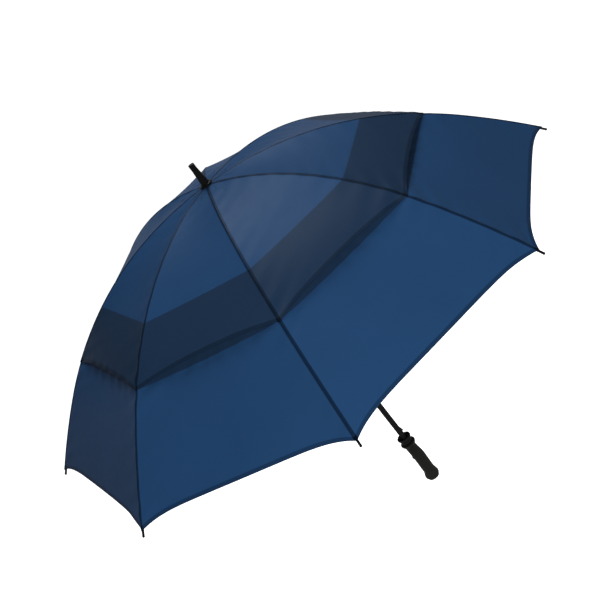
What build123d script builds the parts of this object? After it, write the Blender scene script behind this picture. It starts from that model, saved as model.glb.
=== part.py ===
from build123d import *
from math import acos, asin, cos, degrees, hypot, pi, radians, sin
import os

# Double-canopy golf umbrella, open, standing on its shaft axis.
# +Z runs up the shaft towards the ferrule; the origin is on the axis at the middle of the hand grip.
# All sizes are in millimetres and degrees.

# ---- overall ----
total_length = 1000.0        # handle end to ferrule tip
handle_length = 142.0        # handle end to the rim of the tip cup
ferrule_rise = 63.0          # rib pivots up to the ferrule tip
rib_count = 8

# ---- shaft ----
shaft_d = 14.0               # glass-fibre tube
shaft_wall = 2.0
shaft_in_ferrule = 28.0      # rib pivots up to the top end of the tube
shaft_in_handle = 122.0      # cup rim down to the bottom end of the tube

# ---- ribs: a round rod, bent by the stretched cloth into three arcs ----
rod_d = 4.0
hub_wall = 1.4               # crown and runner, between the bore and the back of the slots
hub_rim = 5.0                # crown and runner, outside the pivots
inner_length = 380.0         # crown pivot to rib joint, along the rod
inner_bend = 29.5
middle_length = 200.0
middle_bend = 13.0
end_length = 196.0
end_bend = 5.8
eye_r = 3.0                  # hinge eyes at the crown and runner rings
eye_width = 3.0
wire_d = 1.2                 # ring wires
wire_hole_d = 1.95           # hole in an eye, wide enough for the curve of the ring wire

# ---- rib joints (moulded sleeve with two cheeks and a rivet) ----
joint_drop = 3.6             # rivet axis below the underside of the rod
sleeve_wall = 1.0
sleeve_top = 0.6             # flat under the cloth, above the rod
sleeve_length = 14.0
cheek_gap = 3.0
cheek_thickness = 1.3
cheek_r = 2.9
rivet_d = 2.0
rivet_clearance = 0.08
joint_eye_r = 2.7
joint_eye_width = 2.6
flex_gap = 0.2               # between the sleeve and the ball root of the outer rod

# ---- stretchers ----
stretcher_depth = 4.4
stretcher_width = 3.6

# ---- rib tips ----
tip_wall = 0.6
tip_cover = 14.0             # length of rod inside the tip
tip_bead = 0.3               # ball point, larger in radius than the tip
tip_overhang = 5.2           # rod end to the centre of the ball

# ---- crown and runner ----
slot_clearance = 0.3
crown_seat = 0.2             # crown's top below the cloth
crown_bottom = 8.0           # below the rib pivots
runner_gap = 0.3             # runner on shaft, radial
runner_head_up = 5.0
runner_head_down = 8.0
skirt_wall = 3.0
skirt_length = 35.0          # runner pivots down to the foot of the skirt
foot_rim = 2.1               # foot, outside the skirt
skirt_foot = 4.0
folded_joint_r = 24.5        # rivets from the shaft axis when folded

# ---- catches: sprung wedges in slots through the shaft wall ----
catch_width = 2.4
catch_slot_gap = 0.3
catch_reach = 2.8            # outside the shaft
catch_root = 3.9             # inside the shaft's outer face
catch_length = 13.0
catch_lip = 3.0
window_drop = 31.5           # runner pivots down to the lower edge of the bottom catch, folded
catch_play = 0.3

# ---- cloth ----
cloth = 0.6
cloth_gap = 1.3              # rod to the lower canopy
layer_gap = 0.5              # lower canopy to the upper canopy
upper_past_joint = 114.0     # rib joints out to the hem of the upper canopy, along the rib
overlap = 142.0              # of the two canopies, along the rib
hem_back = 5.0               # rod end back to the hem
lower_scallop = 15.0         # rise of the hem midway between two tips
upper_scallop = 9.0
canopy_hole_gap = 1.0        # shaft to the hole in the upper canopy

# ---- ferrule ----
cap_r = 15.0
cap_height = 5.0
spike_wall = 2.45            # at the foot of the ferrule; its end is as thick as the shaft
spike_tip_length = 14.0
fit_gap = 0.05               # pieces pressed on the shaft

# ---- handle ----
cup_depth = 9.0
cup_rim_r = 17.7
cup_wall = 2.5
key_r = 2.2                  # round-headed key in the floor of the cup
key_gap = 1.0
neck_r = 14.3
neck_drop = 15.0             # cup rim down to the top of the grip
spigot_r = 11.0
spigot_length = 11.0
grip_ring_r = 19.4
grip_waist_r = 14.0
grip_middle_r = 15.2
grip_knob_r = 18.6
grip_bow = 2.2               # the grip's middle stands back from the axis
finger_ridge = 1.8
end_cap_r = 12.5
end_cap_depth = 2.5

# ---- derived ----
rod_r = rod_d / 2
shaft_r = shaft_d / 2
pivot_r = shaft_r + runner_gap + hub_wall + slot_clearance + eye_r
hub_r = pivot_r + hub_rim
sleeve_r = rod_r + sleeve_wall
tip_r = rod_r + tip_wall
rivet_drop = rod_r + joint_drop
lower_gap = rod_r + cloth_gap
upper_gap = lower_gap + cloth + layer_gap
crown_top = upper_gap - crown_seat
cup_floor_r = shaft_r + key_gap + 2 * key_r + 0.2
step = 360.0 / rib_count
half = pi / rib_count
handle_z = -handle_length / 2
cup_z = handle_z + handle_length
top_z = handle_z + total_length
crown_z = top_z - ferrule_rise
slot_width = rod_d + 2 * slot_clearance
arcs = [(inner_length, inner_bend), (middle_length, middle_bend), (end_length, end_bend)]
rod_length = inner_length + middle_length + end_length
upper_end = inner_length + upper_past_joint
lower_start = upper_end - overlap
lower_end = rod_length - hem_back


def rib_point(s, offset=0.0):
    """Radius, height and slope of the bent rib at arc length s from its pivot.

    offset is measured square to the rod, outwards. Before the pivot the line runs on level."""
    r, z, slope, left = pivot_r, crown_z, 0.0, s
    if s < 0:
        return r + s, z + offset, 0.0
    for n, (length, bend) in enumerate(arcs):
        part = left if n == len(arcs) - 1 else min(left, length)
        radius = length / radians(bend)
        end = slope + part / radius
        r += radius * (sin(end) - sin(slope))
        z += radius * (cos(end) - cos(slope))
        slope, left = end, left - part
        if left <= 0:
            break
    return r + offset * sin(slope), z + offset * cos(slope), slope


def rib_frame(s):
    """Plane on the rod at arc length s: x along the rod, y tangential, z square to the rod, outwards."""
    r, z, slope = rib_point(s)
    return Plane(
        origin=(r, 0, z), x_dir=(cos(slope), 0, -sin(slope)), z_dir=(sin(slope), 0, cos(slope)))


def arc_edges(first, last):
    """The rib's centre line as true arcs, from arc number first to arc number last."""
    edges, s = [], sum(length for length, bend in arcs[:first])
    for length, bend in arcs[first:last + 1]:
        a, b, c = (rib_point(s + share * length) for share in (0.0, 0.5, 1.0))
        edges.append(ThreePointArc((a[0], 0, a[1]), (b[0], 0, b[1]), (c[0], 0, c[1])))
        s += length
    return edges


def rod_along(edges):
    """Round rod along tangent arcs."""
    path = Wire(edges)
    return sweep(Plane(origin=path @ 0, z_dir=path % 0) * Circle(rod_r), path=path)


def along_y(length, radius, x, z):
    """Cylinder across the rib plane, centred on it."""
    return Pos(x, 0, z) * Rot(90, 0, 0) * Cylinder(radius, length)


def at(n, shape):
    """Shape turned to rib number n, counted from 1 at azimuth 0."""
    return Rot(0, 0, step * (n - 1)) * shape


# the rivet, and the folding triangle: crown pivot, rivet and runner pivot, with two equal sides
joint_plane = rib_frame(inner_length)
rivet = joint_plane.from_local_coords(Vector(0, 0, -rivet_drop))
rivet_x, rivet_z = rivet.X, rivet.Z
stretcher_length = hypot(rivet_x - pivot_r, crown_z - rivet_z)
open_angle = asin((crown_z - rivet_z) / stretcher_length)
fold_angle = degrees(acos((folded_joint_r - pivot_r) / stretcher_length) - open_angle)
runner_z = 2 * rivet_z - crown_z
folded_runner_z = crown_z - 2 * stretcher_length * sin(open_angle + radians(fold_angle))

# the outer rod springs back out as the rib folds, until its tip lies beside the cup
tip_end = rib_point(rod_length + tip_overhang)
root = rib_point(inner_length)


# ---- shaft and its two catches ----
def catch_profile(z_flat, way):
    """Wedge in the XZ plane: square at z_flat, falling away towards way (+1 up, -1 down)."""
    out, inn = shaft_r + catch_reach, shaft_r - catch_root
    return make_face(Polyline(
        (inn, 0, z_flat), (out, 0, z_flat), (out, 0, z_flat + way * catch_lip),
        (shaft_r, 0, z_flat + way * catch_length), (inn, 0, z_flat + way * catch_length), close=True))


def catch(z_flat, way):
    return extrude(catch_profile(z_flat, way), catch_width / 2, both=True)


def catch_slot(z_flat, way):
    """Slot through one side of the tube, a little longer and wider than its catch."""
    middle = z_flat + way * catch_length / 2
    return Pos(shaft_r, 0, middle) * Box(
        2 * shaft_wall + 1.0, catch_width + 2 * catch_slot_gap, catch_length + 2 * catch_slot_gap)


top_flat = runner_z - skirt_length - catch_play
bottom_flat = folded_runner_z - window_drop
shaft_low = cup_z - shaft_in_handle
shaft_high = crown_z + shaft_in_ferrule
shaft = Pos(0, 0, (shaft_low + shaft_high) / 2) * (
    Cylinder(shaft_r, shaft_high - shaft_low) - Cylinder(shaft_r - shaft_wall, shaft_high - shaft_low))
shaft -= catch_slot(top_flat, -1)
shaft -= catch_slot(bottom_flat, 1)
top_catch = catch(top_flat, -1)
bottom_catch = catch(bottom_flat, 1)


# ---- crown: slotted hub with a ring wire, pressed on the top of the shaft ----
def ring_wire(z):
    return Pos(0, 0, z) * Torus(pivot_r, wire_d / 2)


def hub(outer_r, z_low, z_high, bore):
    body = Pos(0, 0, (z_low + z_high) / 2) * Cylinder(outer_r, z_high - z_low)
    body = chamfer(body.edges().filter_by(GeomType.CIRCLE), 1.0)
    return body - Pos(0, 0, (z_low + z_high) / 2) * Cylinder(bore, z_high - z_low)


def slots(z_low, z_high):
    """Eight radial slots, open outwards, from behind the hinge eyes."""
    back = pivot_r - eye_r - slot_clearance
    slot = Pos(back, 0, z_low) * Box(
        3 * hub_r, slot_width, z_high - z_low, align=(Align.MIN, Align.CENTER, Align.MIN))
    return [at(n, slot) for n in range(1, rib_count + 1)]


crown = hub(hub_r, crown_z - crown_bottom, crown_z + crown_top, shaft_r + fit_gap)
for slot in slots(crown_z - crown_bottom - 1, crown_z + eye_r + slot_clearance):
    crown -= slot
crown_wire = ring_wire(crown_z)
crown -= crown_wire

# ---- runner: slides on the shaft, carries the feet of the stretchers ----
bore = shaft_r + runner_gap
runner = hub(hub_r, runner_z - runner_head_down, runner_z + runner_head_up, bore)
skirt = Pos(0, 0, runner_z - (runner_head_down + skirt_length) / 2) * Cylinder(
    bore + skirt_wall, skirt_length - runner_head_down)
foot = Pos(0, 0, runner_z - skirt_length + skirt_foot / 2) * Cylinder(
    bore + skirt_wall + foot_rim, skirt_foot)
foot = chamfer(foot.edges().filter_by(GeomType.CIRCLE), 0.8)
sleeve_bore = Pos(0, 0, runner_z - skirt_length / 2) * Cylinder(bore, skirt_length + 2)
runner = runner + (skirt + foot - sleeve_bore)
for slot in slots(runner_z - eye_r - slot_clearance, runner_z + runner_head_up + 1):
    runner -= slot
# window that the bottom catch enters when the umbrella is folded
window_z = bottom_flat + catch_length / 2 + (runner_z - folded_runner_z)
runner -= Pos(bore, 0, window_z) * Box(
    4 * skirt_wall, catch_width + 2 * catch_slot_gap, catch_length + 4 * catch_play)
runner_wire = ring_wire(runner_z)
runner -= runner_wire


# ---- ribs ----
def rib_inner():
    """Inner half of a rib: hinge eye on the crown wire, then a bent rod into the rib joint."""
    rod_end = inner_length - rod_r - flex_gap - 1.5
    rod = rod_along(arc_edges(0, 0))
    cut = rib_frame(rod_end) * Box(40, 40, 40, align=(Align.MIN, Align.CENTER, Align.CENTER))
    rod -= cut
    rod -= Pos(pivot_r, 0, crown_z) * Box(2 * eye_r, 40, 40)
    eye = along_y(eye_width, eye_r, pivot_r, crown_z)
    neck = Pos(pivot_r, 0, crown_z) * Box(
        eye_r + 2.0, eye_width, rod_d * 0.8, align=(Align.MIN, Align.CENTER, Align.CENTER))
    return rod + (eye + neck) - along_y(20, wire_hole_d / 2, pivot_r, crown_z)


def rib_outer():
    """Outer half of a rib: ball root at the rib joint, then the bent rod out to the tip."""
    root_ball = Pos(root[0], 0, root[1]) * Sphere(rod_r)
    return rod_along(arc_edges(1, 2)) + root_ball


def rib_joint(rod):
    """Sleeve on the rod's end with a flat top, two cheeks under it and a rivet between them."""
    back = -(rod_r + flex_gap)
    sleeve = Pos(back - sleeve_length / 2, 0, 0) * Rot(0, 90, 0) * Cylinder(sleeve_r, sleeve_length)
    sleeve -= Pos(back - sleeve_length / 2, 0, rod_r + sleeve_top) * Box(
        sleeve_length + 2, 4 * sleeve_r, 10, align=(Align.CENTER, Align.CENTER, Align.MIN))
    cheeks = None
    for side in (-1, 1):
        y = side * (cheek_gap + cheek_thickness) / 2
        disc = Pos(0, y, -rivet_drop) * Rot(90, 0, 0) * Cylinder(cheek_r, cheek_thickness)
        plate = extrude(Plane.XZ * make_face(Polyline(
            (0, -rivet_drop - cheek_r), (0.0, -rivet_drop + cheek_r), (back, -rod_r + 0.4),
            (back - sleeve_length + 1, -rod_r + 0.4), (back - sleeve_length + 3, -sleeve_r - 0.6), close=True)),
            cheek_thickness / 2, both=True)
        cheek = disc + Pos(0, y, 0) * plate
        cheeks = cheek if cheeks is None else cheeks + cheek
    pin = Pos(0, 0, -rivet_drop) * Rot(90, 0, 0) * Cylinder(rivet_d / 2, cheek_gap + 2 * cheek_thickness)
    return joint_plane * (sleeve + cheeks + pin) - rod


def rib_tip(rod):
    """Moulded end piece over the rod's end, with a ball point."""
    end = rib_frame(rod_length)
    body = Pos((tip_overhang - tip_cover) / 2, 0, 0) * Rot(0, 90, 0) * Cylinder(
        tip_r, tip_cover + tip_overhang)
    ball = Pos(tip_overhang, 0, 0) * Sphere(tip_r + tip_bead)
    return end * (body + ball) - rod


def stretcher():
    """Bar from the runner wire up to the rivet, with an eye at each end."""
    along = (rivet_x - pivot_r, 0, rivet_z - runner_z)
    plane = Plane(origin=(pivot_r, 0, runner_z), x_dir=along, z_dir=(0, -1, 0))
    bar = Pos(stretcher_length / 2, 0, 0) * Box(
        stretcher_length - 2 * (eye_r + 2), stretcher_depth, stretcher_width)
    bar = chamfer(bar.edges().filter_by(Axis.X), 0.8)
    neck_depth = stretcher_depth - 0.8
    low = Cylinder(eye_r, eye_width) + Pos(eye_r, 0, 0) * Box(2 * eye_r + 3, neck_depth, eye_width)
    high = Pos(stretcher_length, 0, 0) * (Cylinder(joint_eye_r, joint_eye_width) + Pos(
        -joint_eye_r, 0, 0) * Box(2 * joint_eye_r + 5, neck_depth, joint_eye_width))
    body = bar + low + high
    body -= Cylinder(wire_hole_d / 2, 20)
    body -= Pos(stretcher_length, 0, 0) * Cylinder(rivet_d / 2 + rivet_clearance, 20)
    return plane * body


inner_rod, outer_rod, bar = rib_inner(), rib_outer(), stretcher()
joint_piece, tip_piece = rib_joint(inner_rod), rib_tip(outer_rod)


# ---- canopies: eight flat-across gores each, stretched between neighbouring ribs ----
def gore(s_start, s_end, gap, scallop):
    """One gore between two ribs. It is straight across, so it is the rib's line seen square to the gore,
    extruded across, trimmed by the two rib planes and by an arched hem."""
    count = 9
    stations = [s_start + (s_end - s_start) * k / (count - 1) for k in range(count)]
    inner = [rib_point(s, gap) for s in stations]
    outer = [rib_point(s, gap + cloth) for s in stations]
    under = Spline(*[(r * cos(half), z) for r, z, slope in inner])
    over = Spline(*[(r * cos(half), z) for r, z, slope in outer])
    section = make_face([under, Line(under @ 1, over @ 1), over, Line(over @ 0, under @ 0)])
    reach = 1.2 * outer[-1][0]
    sheet = extrude(Plane.XZ * section, reach * sin(half), both=True)
    wedge = extrude(make_face(Polyline(
        (0, 0), (reach * 1.2, -reach * 1.2 * sin(half) / cos(half)),
        (reach * 1.2, reach * 1.2 * sin(half) / cos(half)), close=True)), total_length)
    sheet &= wedge
    width, hem_z = inner[-1][0] * sin(half), inner[-1][1]
    radius = (width ** 2 + scallop ** 2) / (2 * scallop)
    sheet -= Pos(reach / 2, 0, hem_z + scallop - radius) * Rot(0, 90, 0) * Cylinder(radius, reach)
    return Rot(0, 0, step / 2) * sheet


def canopy(s_start, s_end, gap, scallop):
    piece = gore(s_start, s_end, gap, scallop)
    whole = piece
    for n in range(2, rib_count + 1):
        whole = whole + at(n, piece)
    return whole


canopy_upper = canopy(shaft_r + canopy_hole_gap - pivot_r, upper_end, upper_gap, upper_scallop)
canopy_lower = canopy(lower_start, lower_end, lower_gap, lower_scallop)

# ---- cap and ferrule ----
cap_z = crown_z + upper_gap + cloth + fit_gap
cap_ring = Pos(0, 0, cap_z + cap_height / 2) * Cylinder(cap_r, cap_height)
cap_ring = fillet(cap_ring.edges().filter_by(GeomType.CIRCLE).sort_by(Axis.Z)[-1], 2.0)
cap_ring -= Pos(0, 0, cap_z + cap_height / 2) * Cylinder(shaft_r + fit_gap, cap_height)

spike_z = cap_z + cap_height
spike_taper = top_z - spike_tip_length - spike_z
ferrule = Pos(0, 0, spike_z + spike_taper / 2) * Cone(shaft_r + fit_gap + spike_wall, shaft_r, spike_taper)
spike_end = Pos(0, 0, top_z - spike_tip_length / 2) * Cylinder(shaft_r, spike_tip_length)
ferrule += fillet(spike_end.edges().filter_by(GeomType.CIRCLE).sort_by(Axis.Z)[-1], 1.0)
bore_top = shaft_high + 1.0
ferrule -= Pos(0, 0, (spike_z + bore_top) / 2) * Cylinder(shaft_r + fit_gap, bore_top - spike_z)


# ---- handle ----
def turned(points):
    """Solid turned about the shaft axis from (radius, height) points."""
    return revolve(Plane.XZ * make_face(Polyline(*points, close=True)), Axis.Z)


bore_r = shaft_r + fit_gap
neck_z = cup_z - neck_drop
handle_cup = turned([
    (bore_r, neck_z - spigot_length), (spigot_r, neck_z - spigot_length), (spigot_r, neck_z), (neck_r, neck_z),
    (neck_r, cup_z - cup_depth - 2), (cup_rim_r, cup_z - 4.0), (cup_rim_r, cup_z - 1.0), (cup_rim_r - 1.0, cup_z),
    (cup_rim_r - cup_wall, cup_z), (cup_floor_r, cup_z - cup_depth), (bore_r, cup_z - cup_depth)])
# small round-headed key beside the shaft, in the floor of the cup
key_x = shaft_r + key_gap + key_r
key = Pos(key_x, 0, cup_z - cup_depth - 1) * Cylinder(key_r, 7.0, align=(Align.CENTER, Align.CENTER, Align.MIN))
key += Pos(key_x, 0, cup_z - cup_depth + 6.0) * Sphere(key_r)
handle_cup += key

grip_keys = [                          # below the grip's top: depth, radius, share of the bow
    (0.0, neck_r + 0.6, 0.0), (6.0, grip_ring_r, 0.0), (18.0, grip_waist_r, 0.0), (54.0, grip_middle_r, 1.0),
    (98.0, grip_middle_r - 0.2, 0.5), (118.0, grip_knob_r, 0.0), (127.0, grip_knob_r - 4.2, 0.0)]
grip_length = handle_length - neck_drop
reach = grip_length / grip_keys[-1][0]


def grip_section(depth):
    """Round section of the grip, eased between the key sections on either side of it."""
    for (d0, r0, b0), (d1, r1, b1) in zip(grip_keys, grip_keys[1:]):
        if depth <= d1:
            share = (depth - d0) / (d1 - d0)
            ease = share * share * (3 - 2 * share)
            break
    bow = (b0 + (b1 - b0) * ease) * grip_bow
    return Pos(bow, 0, neck_z - depth * reach) * Circle(r0 + (r1 - r0) * ease)


grip_count = 43
handle_grip = loft([grip_section(grip_keys[-1][0] * k / (grip_count - 1)) for k in range(grip_count)])
ridge_r = 9.0
handle_grip += Pos(grip_bow - grip_middle_r - finger_ridge + ridge_r, 0, neck_z - 50 * reach) * Sphere(ridge_r)
handle_grip -= Pos(0, 0, (neck_z + shaft_low) / 2) * Cylinder(bore_r, neck_z - shaft_low)
handle_grip -= Pos(0, 0, neck_z - spigot_length / 2) * Cylinder(spigot_r, spigot_length)
handle_grip -= Pos(0, 0, handle_z + end_cap_depth / 2) * Cylinder(end_cap_r, end_cap_depth)
handle_end = Pos(0, 0, handle_z + end_cap_depth / 2) * Cylinder(end_cap_r, end_cap_depth)

# ---- write one file for each piece ----
pieces = {
    "shaft": shaft, "top_catch": top_catch, "bottom_catch": bottom_catch,
    "crown": crown, "crown_wire": crown_wire, "runner": runner, "runner_wire": runner_wire,
    "canopy_upper": canopy_upper, "canopy_lower": canopy_lower,
    "cap_ring": cap_ring, "ferrule": ferrule,
    "handle_cup": handle_cup, "handle_grip": handle_grip, "handle_end": handle_end,
}
for n in range(1, rib_count + 1):
    pieces[f"rib_inner_{n}"] = at(n, inner_rod)
    pieces[f"rib_joint_{n}"] = at(n, joint_piece)
    pieces[f"rib_outer_{n}"] = at(n, outer_rod)
    pieces[f"rib_tip_{n}"] = at(n, tip_piece)
    pieces[f"stretcher_{n}"] = at(n, bar)

os.makedirs("parts", exist_ok=True)
for name, shape in pieces.items():
    export_step(shape, f"parts/{name}.step")

print(f"crown z {crown_z:.3f}  rivet {rivet_x:.3f}, {rivet_z:.3f}  stretcher {stretcher_length:.3f}")
print(f"runner z {runner_z:.3f} open, {folded_runner_z:.3f} folded  fold {fold_angle:.3f} deg")
print(f"rib joint centre {root[0]:.3f}, {root[1]:.3f}  tip {tip_end[0]:.3f}, {tip_end[1]:.3f}")
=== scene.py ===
import math

import bpy
import numpy as np
from mathutils import Matrix


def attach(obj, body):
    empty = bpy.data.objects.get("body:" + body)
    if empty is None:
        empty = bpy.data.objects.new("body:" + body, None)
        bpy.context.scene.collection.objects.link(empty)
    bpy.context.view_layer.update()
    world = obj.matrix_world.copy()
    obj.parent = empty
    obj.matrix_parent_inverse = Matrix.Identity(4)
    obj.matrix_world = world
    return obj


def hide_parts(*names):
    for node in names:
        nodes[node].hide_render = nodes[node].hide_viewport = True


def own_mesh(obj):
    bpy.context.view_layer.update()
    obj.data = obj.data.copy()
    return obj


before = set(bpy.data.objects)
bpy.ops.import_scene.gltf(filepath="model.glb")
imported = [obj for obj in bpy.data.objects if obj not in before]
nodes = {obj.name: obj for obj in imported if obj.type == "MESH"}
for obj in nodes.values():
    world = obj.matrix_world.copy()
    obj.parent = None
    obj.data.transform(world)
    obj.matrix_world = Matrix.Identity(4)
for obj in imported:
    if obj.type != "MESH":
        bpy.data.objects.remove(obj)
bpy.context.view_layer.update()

# ---------------------------------------------------------------- camera
# The umbrella stands upright in its own frame. The camera looks down on it from the side of ribs 6 to 8 and
# is turned about its own axis, so that the shaft leans back, with the grip low on the right.
CAMERA_PLACE = (0.2818, -2.6835, 1.6712)
CAMERA_RIGHT = (0.808711, -0.159589, -0.566143)
CAMERA_DOWN = (-0.580650, -0.370371, -0.725031)
CAMERA_AHEAD = (-0.093976, 0.915072, -0.392189)
CAMERA_LENS = 77.13

eye = bpy.data.objects.new("camera", bpy.data.cameras.new("camera"))
bpy.context.scene.collection.objects.link(eye)
turned = np.array([CAMERA_RIGHT, np.negative(CAMERA_DOWN), np.negative(CAMERA_AHEAD)]).T
eye.matrix_world = Matrix.Translation(CAMERA_PLACE) @ Matrix(turned.tolist()).to_4x4()
eye.data.lens = CAMERA_LENS
eye.data.sensor_width = 36.0
eye.data.clip_end = 1000.0
bpy.context.scene.camera = eye
bpy.context.scene.view_settings.view_transform = "Standard"

# ---------------------------------------------------------------- upper canopy
# Eight gores of light navy rainwear cloth, sewn edge to edge along the ribs with a flat seam and turned up
# into a narrow hem. It is held at the crown and tied to the ribs, and its hem stands a little proud of the
# lower canopy so that wind can pass. Each piece here is the cloth either side of one rib, out to mid-gore.
RIBS = 8
HALF = math.pi / RIBS                # half the angle from rib to rib
PIVOT_R, CROWN_Z = 0.012, 0.866      # where the ribs hinge on the crown
ROD_ARCS = ((0.380, 29.5), (0.200, 13.0), (0.196, 5.8))    # length and bend of the rod's three arcs
RIB_JOINT_AT = ROD_ARCS[0][0]
UPPER_START, UPPER_HEM = -0.004, 0.494    # along the rib, from its pivot
LOWER_START, LOWER_HEM = 0.352, 0.771
UPPER_LIFT = 0.0046                  # middle of the rod to the cloth
UPPER_ARCH = 0.013                   # how far the hem draws back at mid-gore
UPPER_TIGHT = 2.6                    # how quickly it comes back down to the rib
UPPER_STAND = 0.0085                 # how far the free hem lifts off at mid-gore
CLOTH = 0.0004
HEM_TURN = 0.009


def rib_line(s, lift):
    """Radius, height and slope of the bent rib at arc length s. The rod is three arcs end to end. Each adds
    its radius times the change of the slope's sine to the radius, and of its cosine to the height. Before
    the pivot the line runs on level. lift moves the point square to the rod, outwards."""
    r = PIVOT_R + np.minimum(s, 0.0)
    z = np.full_like(s, CROWN_Z)
    slope, before = np.zeros_like(s), 0.0
    for length, bend in ROD_ARCS:
        radius = length / math.radians(bend)
        on = np.clip(s - before, 0.0, length)
        r = r + radius * (np.sin(slope + on / radius) - np.sin(slope))
        z = z + radius * (np.cos(slope + on / radius) - np.cos(slope))
        slope, before = slope + on / radius, before + length
    return r + lift * np.sin(slope), z + lift * np.cos(slope), slope


def eased(x):
    """0 below 0, 1 above 1, and a smooth step between."""
    x = np.clip(x, 0.0, 1.0)
    return x * x * (3 - 2 * x)


def slack(s, across, y, turn, side):
    """How far the cloth stands out of the flat gore, in metres. It is a shallow sag between the ribs that is
    greatest at mid-gore, plus small puckers that start just off each seam, run askew and die out over a few
    centimetres, strongest beside the hems, plus one long faint wave and a fine ripple along the upper hem.
    turn is the gore's own phase, and side says which of its two ribs the cloth is by."""
    sag = -0.0045 * across * eased(s / 0.16)
    by_seam = np.exp(-y / 0.042) * (1 - np.exp(-y / 0.006))
    by_upper_hem = np.exp(-((s - UPPER_HEM) / 0.055) ** 2)
    by_lower_hem = np.exp(-((s - LOWER_HEM) / 0.07) ** 2)
    high = 0.0019 * by_seam * (0.30 + by_upper_hem + 0.7 * by_lower_hem)
    pucker = high * np.sin(s / 0.0085 + side * y / 0.016 + 2.3 * turn)
    wave = 0.0009 * across * np.sin(s / 0.043 + 1.7 * turn)
    on_hem = np.exp(-((s - UPPER_HEM) / 0.022) ** 2)
    ripple = 0.0008 * across * on_hem * np.sin(y / 0.0075 + 2.3 * turn)
    return sag + pucker + wave + ripple


def cloth_strip(rib, start, stop, start_arch, stop_arch, tight, lift, stand, hemmed, rows, columns=57):
    """The cloth either side of one rib as two grids, front and back. One parameter runs along the rib, from
    an inner edge that arches by |t|(2 - |t|) to an outer edge that arches back by 1 - (1 - |t|)^tight, so
    that a higher tight brings the hem down to the rib in a shorter way. The other, t, runs across from
    mid-gore to mid-gore and is set closer near the rib. A point at t lies on the straight line between the
    two ribs, |t| of the way to mid-gore, moved square to the gore by slack() and by stand()."""
    x = np.linspace(-1, 1, columns)
    t, along = np.meshgrid(np.sign(x) * np.abs(x) ** 1.5, np.linspace(0, 1, rows))
    far, side = np.abs(t), np.sign(t)
    s0, s1 = start + start_arch * far * (2 - far), stop - stop_arch * (1 - (1 - far) ** tight)
    s = s0 + (s1 - s0) * along
    gore = np.where(t >= 0, rib, (rib - 2) % RIBS + 1)
    across = 1 - (1 - far) ** 2
    y = far * rib_line(s, 0.0)[0] * math.sin(HALF)
    hem_gap = s1 - s
    out = slack(s, across, y, gore * 1.9, side) + stand(s, across)
    seam = 0.0006 * np.exp(-(y / 0.0030) ** 2)
    turned_in = CLOTH * (1 - eased((hem_gap - HEM_TURN) / 0.0015)) if hemmed else 0.0
    cos_half, sin_half = math.cos(HALF), math.sin(HALF)
    a = 2 * HALF * (rib - 1)
    layers = []
    for face in (1, -1):
        r, z, slope = rib_line(s, lift + face * (CLOTH / 2 + turned_in / 2) + seam)
        out_level = out * np.sin(slope)
        ahead = r * (1 - far) + far * r * cos_half ** 2 + out_level * cos_half
        aside = side * (far * r * cos_half * sin_half + out_level * sin_half * (far > 0))
        layers.append(np.stack([
            ahead * math.cos(a) - aside * math.sin(a),
            ahead * math.sin(a) + aside * math.cos(a),
            z + out * np.cos(slope)], -1).reshape(-1, 3))
    uv = np.stack([side * y, s], -1).reshape(-1, 2)
    place = np.stack([hem_gap if hemmed else np.ones_like(s), y, s], -1).reshape(-1, 3)
    return layers, uv, place, (rows, columns)


def closed_sheet(name, layers, uv, place, size):
    """A mesh of two grids of the same size, one behind the other, joined round their edges into one closed
    sheet. Quads run over the front grid, over the back grid the other way round, and along the border."""
    rows, columns = size
    index = np.arange(rows * columns).reshape(rows, columns)
    front = np.stack([index[:-1, :-1], index[1:, :-1], index[1:, 1:], index[:-1, 1:]], -1).reshape(-1, 4)
    back = front[:, ::-1] + rows * columns
    border = np.concatenate([index[0, :], index[1:, -1], index[-1, -2::-1], index[-2:0:-1, 0]])
    follow = np.roll(border, -1)
    rim = np.stack([border, follow, follow + rows * columns, border + rows * columns], -1)
    mesh = bpy.data.meshes.new(name)
    mesh.from_pydata(np.concatenate(layers).tolist(), [], np.concatenate([front, back, rim]).tolist())
    corner = np.zeros(len(mesh.loops), np.int32)
    mesh.loops.foreach_get("vertex_index", corner)
    lay = mesh.uv_layers.new(name="lay")
    lay.data.foreach_set("uv", np.concatenate([uv, uv])[corner].ravel())
    mesh.attributes.new("place", "FLOAT_VECTOR", "POINT").data.foreach_set(
        "vector", np.concatenate([place, place]).astype(np.float32).ravel())
    mesh.polygons.foreach_set("use_smooth", np.ones(len(mesh.polygons), bool))
    mesh.update()
    mesh.set_sharp_from_angle(angle=1.0)
    piece = bpy.data.objects.new(name, mesh)
    bpy.context.scene.collection.objects.link(piece)
    return piece


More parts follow.
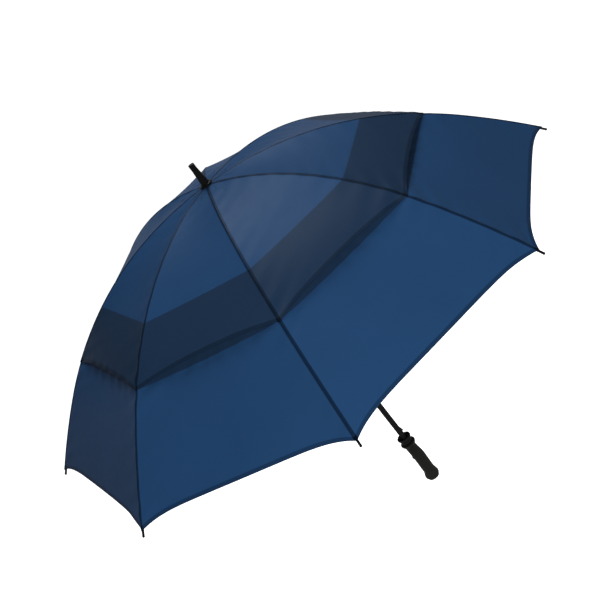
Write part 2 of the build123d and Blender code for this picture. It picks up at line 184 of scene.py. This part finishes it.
class Dye:
    """One value in a material's nodes. Sums written on it become Math nodes. put() adds any other node."""

    def __init__(self, tree, socket=None):
        self.tree, self.socket = tree, socket

    def put(self, kind, settings=None, values=None, output=0):
        node = self.tree.nodes.new(kind)
        for key, value in (settings or {}).items():
            setattr(node, key, value)
        for key, value in (values or {}).items():
            if isinstance(value, Dye):
                self.tree.links.new(value.socket, node.inputs[key])
            else:
                node.inputs[key].default_value = value
        return Dye(self.tree, node.outputs[output] if node.outputs else None)

    def sum(self, operation, one, two=0.0):
        return self.put("ShaderNodeMath", {"operation": operation}, {0: one, 1: two})

    def __add__(self, other):
        return self.sum("ADD", self, other)

    def __radd__(self, other):
        return self.sum("ADD", other, self)

    def __sub__(self, other):
        return self.sum("SUBTRACT", self, other)

    def __rsub__(self, other):
        return self.sum("SUBTRACT", other, self)

    def __mul__(self, other):
        return self.sum("MULTIPLY", self, other)

    def __rmul__(self, other):
        return self.sum("MULTIPLY", other, self)

    def __lt__(self, other):
        return self.sum("LESS_THAN", self, other)

    def abs(self):
        return self.sum("ABSOLUTE", self)

    def sin(self):
        return self.sum("SINE", self)

    def ramp(self, low, high):
        """0 at low, 1 at high, smooth between; low may be the larger."""
        return self.put("ShaderNodeMapRange", {"interpolation_type": "SMOOTHSTEP"},
                        {"Value": self, "From Min": low, "From Max": high})

    def mix(self, one, two):
        """Colour one where this is 0, colour two where it is 1."""
        return self.put("ShaderNodeMix", {"data_type": "RGBA"}, {0: self, 6: one, 7: two}, 2)

    def grain(self, place, scale, detail=2.0):
        """Cloudy noise over place, about 0.5 on average."""
        return self.put("ShaderNodeTexNoise", None, {"Vector": place, "Scale": scale, "Detail": detail})

    def bump(self, height, strength, depth):
        """Surface direction over a relief of that depth, in metres."""
        return self.put("ShaderNodeBump", None, {
            "Height": height, "Strength": strength, "Distance": depth})


def finish_of(name):
    """A new material with an empty node tree, and a Dye to build it with."""
    material = bpy.data.materials.new(name)
    material.use_nodes = True
    material.node_tree.nodes.clear()
    return material, Dye(material.node_tree)


def close(dye, values):
    """The shader and the output at the end of a material."""
    shader = dye.put("ShaderNodeBsdfPrincipled", None, values)
    dye.put("ShaderNodeOutputMaterial", None, {"Surface": shader})


def navy_cloth(name, thin, thick_shaded, doubled_from, doubled_to):
    """Rainwear cloth in a fine plain weave. It is thin enough for light to pass, so its colour is painted
    deeper, as painted shade, where the two canopies lie over each other, between two lines along the rib,
    and along the seams and the turned hem, where it is folded double. Along the seams it is painted darker
    still, partly for the fold and partly as painted shade of the rib under the cloth. A row of stitches runs
    inside the hem."""
    material, dye = finish_of(name)
    place = dye.put("ShaderNodeAttribute", {"attribute_name": "place"}, None, 1)
    hem, rib, down = (dye.put("ShaderNodeSeparateXYZ", None, {0: place}, n) for n in range(3))
    lay = dye.put("ShaderNodeUVMap", {"uv_map": "lay"})
    sideways, lengthways = (dye.put("ShaderNodeSeparateXYZ", None, {0: lay}, n) for n in range(2))
    body = dye.put("ShaderNodeTexCoord", None, None, 3)
    # Painted shade: where two layers lie over each other, the cloth takes the deeper copy of its colour, as
    # less light passing through would leave it.
    doubled_shade = down.ramp(doubled_from - 0.0015, doubled_from + 0.0015)
    doubled_shade = doubled_shade * down.ramp(doubled_to + 0.001, doubled_to - 0.001)
    # Painted shade: the seams are painted near black, partly for the folded seam and partly as painted shade
    # of the rib under the cloth. The turned hem is painted deeper for its fold.
    folds_and_rib_shade = rib.ramp(0.0052, 0.0030) * 0.75 + hem.ramp(0.0095, 0.0080) * 0.45
    clouds = dye.grain(body, 7.0, 3.0)
    fold_and_rib_shade_colour = (*[c * 0.18 for c in thick_shaded[:3]], 1.0)
    colour = dye.sum("MINIMUM", folds_and_rib_shade, 1.0).mix(doubled_shade.mix(thin, thick_shaded), fold_and_rib_shade_colour)
    shade = (clouds * 0.16 + 0.92) * (dye.grain(body, 900.0) * 0.10 + 0.95)
    colour = dye.put("ShaderNodeVectorMath", {"operation": "SCALE"}, {0: colour, "Scale": shade})
    stitch = ((hem - 0.0075).abs() < 0.0005) * (sideways * 2200.0).sin().ramp(-0.2, 0.2)
    warp = (sideways * 5200.0).sin() * (lengthways * 5200.0).sin()
    height = warp * 0.15 + clouds * 0.4 + stitch * 1.5
    close(dye, {
        "Base Color": colour, "Roughness": dye.grain(body, 60.0) * 0.08 + 0.42,
        "Normal": dye.bump(height, 0.25, 0.0002), "Specular IOR Level": 0.022,
        "Specular Tint": (0.45, 0.70, 1.0, 1.0)})
    return material


# The lit colour of the single cloth, and a deeper copy of it that is painted as shade where light passes
# through two layers.
THIN_NAVY = (0.0080, 0.0270, 0.0690, 1.0)
THICK_SHADED_NAVY = (0.0062, 0.0150, 0.0330, 1.0)
PAST_THE_HEM = 2.0
upper_cloth = navy_cloth("navy_cloth_upper", THIN_NAVY, THICK_SHADED_NAVY, LOWER_START, PAST_THE_HEM)


def upper_stand(s, across):
    """The free hem lifts clear of the lower canopy, most at mid-gore."""
    return UPPER_STAND * across * eased((s - 0.30) / (UPPER_HEM - 0.30))


def front_area(piece):
    """Area of a sheet's front. A quad's is half the length of the cross product of its two diagonals."""
    mesh = piece.data
    corners = np.zeros(len(mesh.vertices) * 3)
    mesh.vertices.foreach_get("co", corners)
    quads = np.zeros(len(mesh.polygons) * 4, np.int32)
    mesh.polygons.foreach_get("vertices", quads)
    quads = quads.reshape(-1, 4)
    front = corners.reshape(-1, 3)[quads[(quads < len(mesh.vertices) // 2).all(1)]]
    crossed = np.cross(front[:, 2] - front[:, 0], front[:, 3] - front[:, 1])
    return float(0.5 * np.linalg.norm(crossed, axis=1).sum())


def hang_cloth(piece, cloth, body, width, length, node):
    """Fixes one strip of cloth to the ribs: its material and its body. It also hides the part it stands in
    for and works out the area of its front, which is not kept. width and length are not used."""
    piece.data.materials.append(cloth)
    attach(piece, body)
    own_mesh(piece)
    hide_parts(node)
    front_area(piece)


def gore_width(s):
    """Distance between the mid-gore lines on either side of a rib, at arc length s."""
    return 2 * float(rib_line(np.array([s]), 0.005)[0][0]) * math.sin(HALF)


for rib in range(1, RIBS + 1):
    piece = closed_sheet(f"upper_cloth_{rib}", *cloth_strip(
        rib, UPPER_START, RIB_JOINT_AT, 0.0, 0.0, 1.0, UPPER_LIFT, upper_stand, False, 66))
    hang_cloth(piece, upper_cloth, f"rib_{rib}", gore_width(RIB_JOINT_AT),
               RIB_JOINT_AT - UPPER_START, "canopy_upper")
    piece = closed_sheet(f"upper_hem_cloth_{rib}", *cloth_strip(
        rib, RIB_JOINT_AT, UPPER_HEM, 0.0, UPPER_ARCH, UPPER_TIGHT, UPPER_LIFT, upper_stand, True, 44))
    hang_cloth(piece, upper_cloth, f"rib_end_{rib}", gore_width(UPPER_HEM),
               UPPER_HEM - RIB_JOINT_AT, "canopy_upper")

# ---------------------------------------------------------------- lower canopy
# The same cloth in eight more gores, from under the upper canopy's hem out to the rib tips. Its top edge is
# open, and its bottom hem arches between the tips, where the cloth is drawn tight and pulls inwards.
LOWER_LIFT = 0.0035
LOWER_TOP_ARCH, LOWER_ARCH = 0.012, 0.020
LOWER_TIGHT = 6.0
LOWER_HANG = 0.0040                  # how far it hangs back under the upper hem at mid-gore
BEFORE_THE_TOP = LOWER_START - 1.0
# Where it lies under the upper canopy, the lower cloth is painted in the deeper, shaded colour.
lower_cloth = navy_cloth("navy_cloth_lower", THIN_NAVY, THICK_SHADED_NAVY, BEFORE_THE_TOP, UPPER_HEM - 0.002)


def lower_stand(s, across):
    """The cloth under the upper hem hangs a little back, which leaves the vent open."""
    return -LOWER_HANG * across * eased((UPPER_HEM + 0.10 - s) / 0.12)


for rib in range(1, RIBS + 1):
    piece = closed_sheet(f"lower_cloth_{rib}", *cloth_strip(
        rib, LOWER_START, LOWER_HEM, LOWER_TOP_ARCH, LOWER_ARCH, LOWER_TIGHT, LOWER_LIFT, lower_stand,
        True, 84, 65))
    hang_cloth(piece, lower_cloth, f"rib_end_{rib}", gore_width(LOWER_HEM),
               LOWER_HEM - LOWER_START, "canopy_lower")

# ---------------------------------------------------------------- ribs, rib joints, tips and stretchers
# The ribs are drawn glass-fibre rods with a satin black skin. The joints and ball tips are moulded nylon,
# and the stretchers are pressed steel painted black.


def moulded_black(name, colour, rough, grain_scale, pits, gloss=0.5):
    """Black moulded or drawn stuff: near-black with a faint cloudy tone, a fine grain and duller patches."""
    material, dye = finish_of(name)
    body = dye.put("ShaderNodeTexCoord", None, None, 3)
    cloud, fine = dye.grain(body, 45.0, 3.0), dye.grain(body, grain_scale, 2.0)
    tone = dye.put("ShaderNodeVectorMath", {"operation": "SCALE"}, {
        0: colour, "Scale": cloud * 0.6 + 0.70})
    close(dye, {
        "Base Color": tone, "Roughness": cloud * 0.12 + fine * 0.08 + (rough - 0.10),
        "Normal": dye.bump(fine, pits, 0.0001), "Specular IOR Level": gloss})
    return material


rod_black = moulded_black("rod_black", (0.008, 0.008, 0.009), 0.34, 900.0, 0.10, 0.35)
joint_black = moulded_black("joint_black", (0.003, 0.003, 0.0032), 0.45, 1400.0, 0.25, 0.15)
painted_black = moulded_black("painted_black", (0.010, 0.010, 0.011), 0.36, 700.0, 0.12, 0.4)


def dress(node, material):
    """Gives a piece of the frame its finish."""
    nodes[node].data.materials.clear()
    nodes[node].data.materials.append(material)


for rib in range(1, RIBS + 1):
    dress(f"rib_inner_{rib}", rod_black)
    dress(f"rib_outer_{rib}", rod_black)
    dress(f"rib_joint_{rib}", joint_black)
    dress(f"rib_tip_{rib}", joint_black)
    dress(f"stretcher_{rib}", painted_black)

# ---------------------------------------------------------------- shaft and catches
# A drawn glass-fibre tube with a satin black skin, ground along its length, and two catches of blued
# spring steel that press into it.
shaft_black, dye = finish_of("shaft_black")
body = dye.put("ShaderNodeTexCoord", None, None, 3)
drawn = dye.put("ShaderNodeMapping", None, {"Vector": body, "Scale": (900.0, 900.0, 6.0)})
streaks = dye.grain(drawn, 1.0, 2.0)
close(dye, {
    "Base Color": streaks.mix((0.0030, 0.0030, 0.0031, 1.0), (0.0065, 0.0065, 0.0067, 1.0)),
    "Roughness": streaks * 0.10 + 0.18, "Normal": dye.bump(streaks, 0.08, 0.0001),
    "Specular IOR Level": 0.18})
dress("shaft", shaft_black)

blued, dye = finish_of("blued_steel")
body = dye.put("ShaderNodeTexCoord", None, None, 3)
tone_mix = dye.grain(body, 300.0, 3.0)
close(dye, {
    "Base Color": tone_mix.mix((0.10, 0.10, 0.11, 1.0), (0.22, 0.22, 0.23, 1.0)), "Metallic": 1.0,
    "Roughness": tone_mix * 0.15 + 0.28, "Normal": dye.bump(tone_mix, 0.1, 0.0001)})
dress("top_catch", blued)
dress("bottom_catch", blued)

# ---------------------------------------------------------------- crown, runner, cap and ferrule
# Moulded nylon hubs with a ring of bright wire through the hinge eyes. The cap and the blunt ferrule above
# the cloth are smoother and darker, and are pressed on the top of the shaft.
hub_black = moulded_black("hub_black", (0.020, 0.020, 0.021), 0.44, 1200.0, 0.22)
ferrule_black = moulded_black("ferrule_black", (0.0020, 0.0020, 0.0021), 0.32, 1100.0, 0.10, 0.12)
bright, dye = finish_of("bright_wire")
body = dye.put("ShaderNodeTexCoord", None, None, 3)
tone_mix = dye.grain(body, 500.0, 2.0)
close(dye, {
    "Base Color": tone_mix.mix((0.42, 0.42, 0.42, 1.0), (0.60, 0.60, 0.60, 1.0)), "Metallic": 1.0,
    "Roughness": tone_mix * 0.15 + 0.22, "Normal": dye.bump(tone_mix, 0.1, 0.0001)})
for node in ("crown", "runner"):
    dress(node, hub_black)
for node in ("crown_wire", "runner_wire"):
    dress(node, bright)
for node in ("cap_ring", "ferrule"):
    dress(node, ferrule_black)

# ---------------------------------------------------------------- handle
# A cup and neck in smooth black nylon over the end of the shaft, and a soft black rubber grip with a fine
# matt grain, swollen to a ring at the top and a knob at the bottom. A flat nylon disc closes its end.
cup_black = moulded_black("cup_black", (0.004, 0.004, 0.0042), 0.30, 900.0, 0.08, 0.3)
grip, dye = finish_of("grip_rubber")
body = dye.put("ShaderNodeTexCoord", None, None, 3)
height_up = dye.put("ShaderNodeSeparateXYZ", None, {0: body}, 2)
cells = dye.put("ShaderNodeTexVoronoi", None, {"Vector": body, "Scale": 900.0})
cloud = dye.grain(body, 30.0, 3.0)
# The grip's colour is mottled, and it is made lighter towards its bottom.
tone_mix = (cloud - 0.35) * 0.6 + height_up.ramp(0.03, -0.05) * 0.25
close(dye, {
    "Base Color": tone_mix.mix((0.0030, 0.0030, 0.0025, 1.0), (0.0085, 0.0084, 0.0072, 1.0)),
    "Roughness": cloud * 0.16 + 0.34, "Normal": dye.bump(cells, 0.16, 0.0002),
    "Specular IOR Level": 0.40})
dress("handle_grip", grip)
dress("handle_cup", cup_black)
dress("handle_end", cup_black)

# ---------------------------------------------------------------- floor and light
# A plain pale floor well below the grip, a surround that is pale at the level of the eye and dark above, and
# two large soft lamps, one in front and one high behind. The floor lights nothing, and the front lamp leaves
# no glare, so that the sides of the cloth stay deep.
FLOOR_Z, FLOOR_REACH = -1.15, 400.0
floor = bpy.data.objects.new("floor", bpy.data.meshes.new("floor"))
bpy.context.scene.collection.objects.link(floor)
floor.data.from_pydata([
    (-FLOOR_REACH, -FLOOR_REACH, FLOOR_Z), (FLOOR_REACH, -FLOOR_REACH, FLOOR_Z),
    (FLOOR_REACH, FLOOR_REACH, FLOOR_Z), (-FLOOR_REACH, FLOOR_REACH, FLOOR_Z)], [], [(0, 1, 2, 3)])
pale, dye = finish_of("pale_floor")
close(dye, {
    "Base Color": (0.93, 0.93, 0.93, 1.0), "Roughness": 0.9,
    "Emission Color": (1.0, 1.0, 1.0, 1.0), "Emission Strength": 1.0})
floor.data.materials.append(pale)
floor.visible_diffuse = False
floor.visible_glossy = False

surround = bpy.data.worlds.new("surround")
bpy.context.scene.world = surround
surround.use_nodes = True
sky = surround.node_tree.nodes["Background"]
sky.inputs["Color"].default_value = (1.0, 1.0, 1.0, 1.0)
dye = Dye(surround.node_tree)
height = dye.put("ShaderNodeSeparateXYZ", None, {0: dye.put("ShaderNodeTexCoord")}, 2)
strength = height.ramp(0.26, 0.0) * 0.90 - height.ramp(0.0, -0.10) * 0.66 + 0.02
surround.node_tree.links.new(strength.socket, sky.inputs["Strength"])


def lamp(name, toward, distance, size, power):
    """A square soft lamp that faces the middle of the canopy, from the direction toward."""
    light = bpy.data.lights.new(name, "AREA")
    light.shape, light.size, light.energy = "SQUARE", size, power
    holder = bpy.data.objects.new(name, light)
    bpy.context.scene.collection.objects.link(holder)
    toward = np.array(toward) / np.linalg.norm(toward)
    centre = np.array([0.0, 0.0, 0.65])
    side = np.cross([0.0, 0.0, 1.0], toward)
    side /= np.linalg.norm(side)
    facing = np.array([side, np.cross(toward, side), toward]).T
    holder.matrix_world = Matrix.Translation(centre + toward * distance) @ Matrix(facing.tolist()).to_4x4()
    return holder


lamp_front = lamp("lamp_front", (0.08, -0.97, 0.22), 3.4, 1.6, 195.0)
lamp_front.visible_glossy = False
lamp("lamp_behind", (0.16, 0.46, 0.87), 3.0, 1.6, 155.0)
